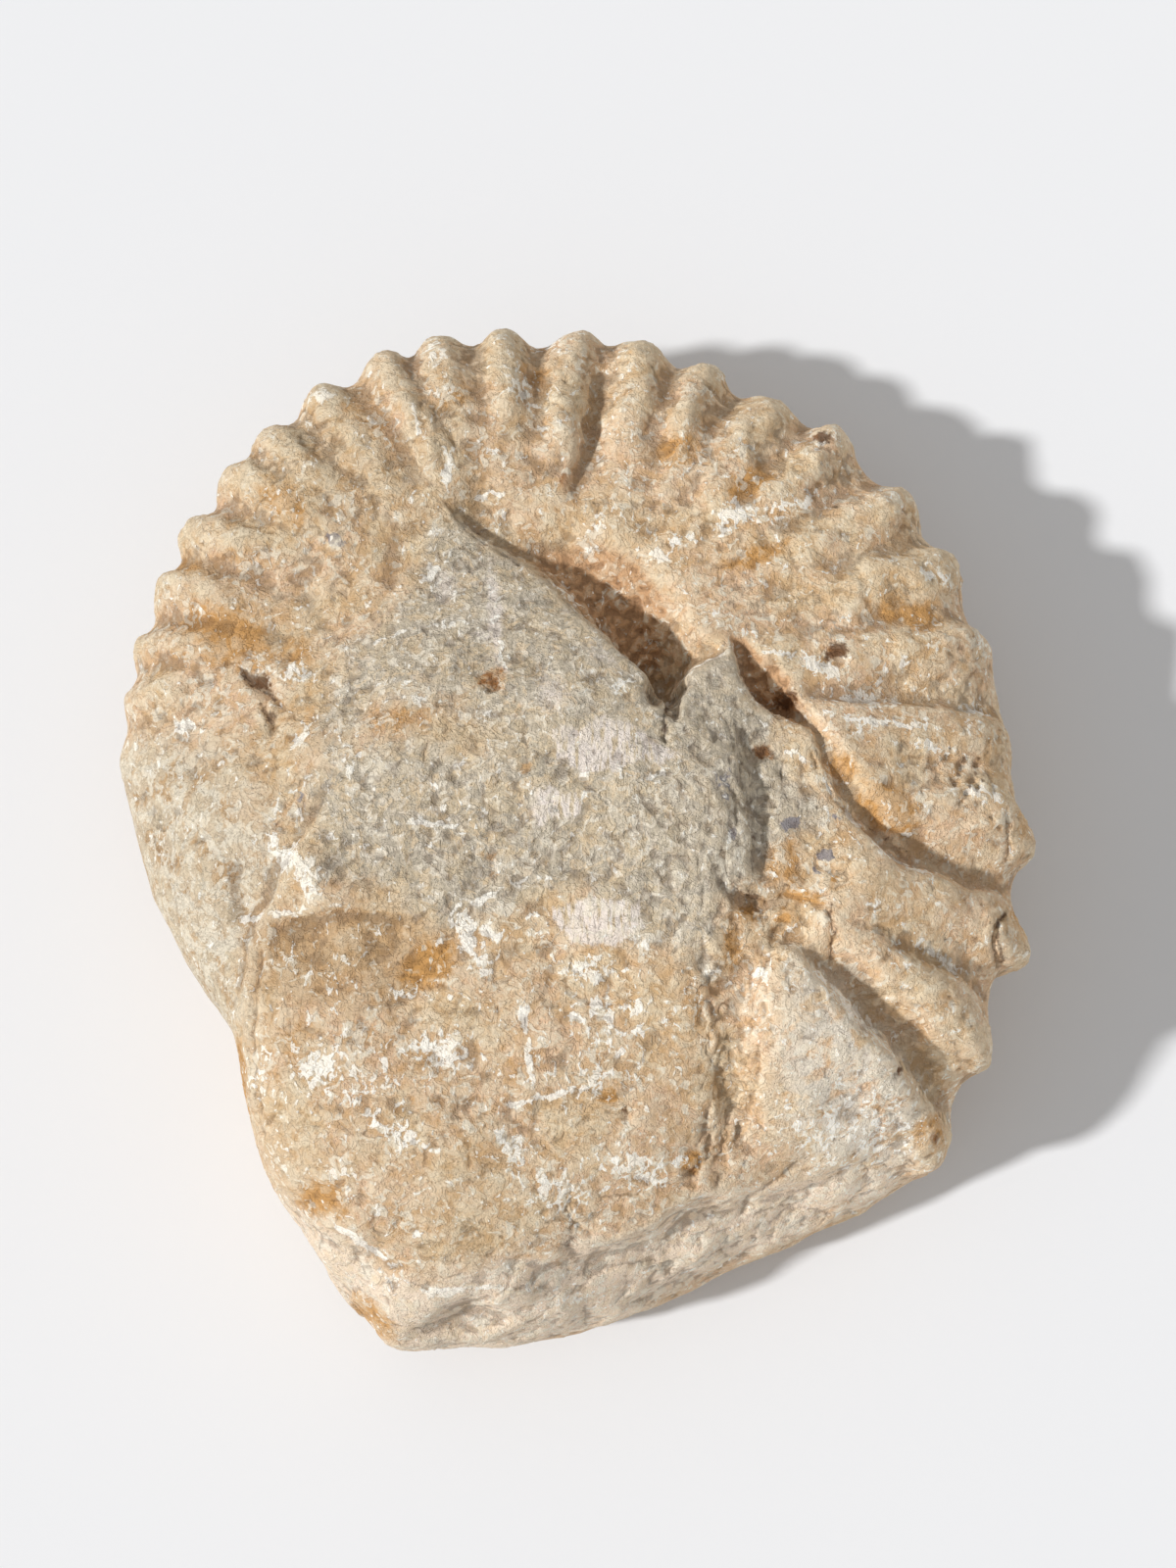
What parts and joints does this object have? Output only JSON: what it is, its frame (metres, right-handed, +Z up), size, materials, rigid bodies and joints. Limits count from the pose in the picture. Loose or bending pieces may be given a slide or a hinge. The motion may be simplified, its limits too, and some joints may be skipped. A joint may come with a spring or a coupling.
{
  "type": "fossil ammonite",
  "caption": "Weathered fossil ammonite lying on its side: a thick disc-shaped coil with ribs across its back, a crooked hollow at the middle and a broken foot.",
  "frame": {"origin": "middle of the footprint's bounding box, on the ground the stone lies on", "axes": "+Z up out of the upper flank, +Y along the longest way towards the ribbed back of the coil, +X towards the side where the whorl's last ribs run out"},
  "size_m": [0.134, 0.151, 0.0555],
  "materials": {
    "stone": "matt, dusty limestone: tan, ochre and cream, with a grey patch of matrix at the middle"
  },
  "bodies": {
    "root": {"ammonite": "stone"}
  },
  "joints": []
}
